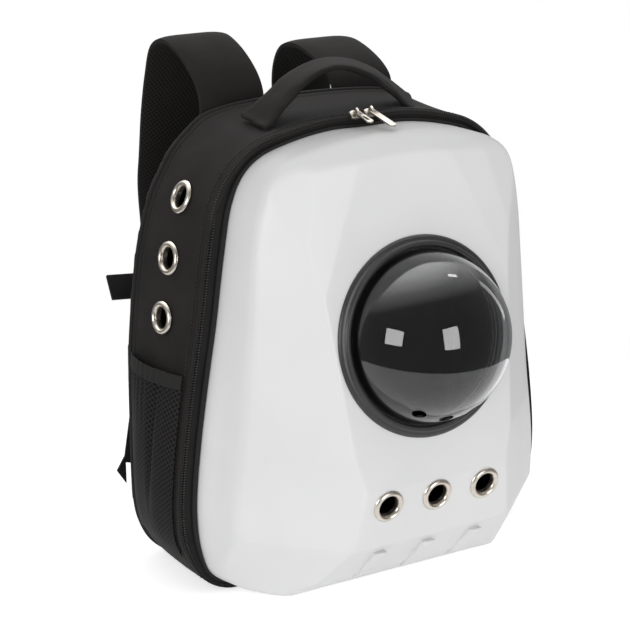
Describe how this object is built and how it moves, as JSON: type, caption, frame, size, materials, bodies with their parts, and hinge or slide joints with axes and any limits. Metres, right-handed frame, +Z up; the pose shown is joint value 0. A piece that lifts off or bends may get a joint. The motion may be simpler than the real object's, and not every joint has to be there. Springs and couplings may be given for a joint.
{
  "type": "pet carrier backpack",
  "caption": "Backpack for carrying a small pet, with a faceted moulded front shell, a clear domed window, vent eyelets, a padded back and straps, a top handle and mesh side pockets.",
  "frame": {"origin": "on the floor below the middle of the whole bag", "axes": "+Z up, the window faces -Y, the wearer's back is on the +Y side, +X to the right of someone who faces the window"},
  "size_m": [0.4022, 0.4004, 0.4702],
  "materials": {
    "shell_white": "satin white moulded plastic",
    "ring_dark": "satin dark grey",
    "dome_clear": "clear plastic with a smoky tint",
    "nickel": "polished dark nickel",
    "coil_black": "moulded black nylon",
    "mesh_black": "open knitted mesh",
    "padded_black": "woven polyester over foam",
    "webbing_black": "ribbed webbing",
    "cloth_black": "woven polyester"
  },
  "bodies": {
    "bag": {"shell_front": "shell_white", "dome_ring": "ring_dark", "dome": "dome_clear", "shell_binding": "cloth_black", "zip_tape": "cloth_black", "zip_coil": "coil_black", "gusset_left": "cloth_black", "gusset_right": "cloth_black", "rear_piping": "cloth_black", "back_panel": "padded_black", "handle": "padded_black", "strap_left": "padded_black", "strap_right": "padded_black", "webbing_left": "webbing_black", "webbing_right": "webbing_black", "pocket_left": "mesh_black", "pocket_right": "mesh_black", "pocket_binding_left": "cloth_black", "pocket_binding_right": "cloth_black", "front_eyelet_1": "nickel", "front_eyelet_2": "nickel", "front_eyelet_3": "nickel", "side_eyelet_left_1": "nickel", "side_eyelet_left_2": "nickel", "side_eyelet_left_3": "nickel", "side_eyelet_right_1": "nickel", "side_eyelet_right_2": "nickel", "side_eyelet_right_3": "nickel", "adjuster_left": "coil_black", "webbing_tail_left": "webbing_black", "lower_tab_left": "webbing_black", "adjuster_right": "coil_black", "webbing_tail_right": "webbing_black", "lower_tab_right": "webbing_black", "zip_slider_1": "nickel", "zip_slider_2": "nickel"},
    "pull_1": {"zip_pull_1": "nickel"},
    "pull_2": {"zip_pull_2": "nickel"}
  },
  "joints": [
    {"name": "pull_1_swing", "type": "hinge", "parent": "bag", "child": "pull_1", "pos_m": [-0.011, -0.03437, 0.4209], "axis": [-1, 0, 0], "range_deg": [0, 110]},
    {"name": "pull_2_swing", "type": "hinge", "parent": "bag", "child": "pull_2", "pos_m": [0.004, -0.03437, 0.4209], "axis": [-1, 0, 0], "range_deg": [0, 110]}
  ]
}
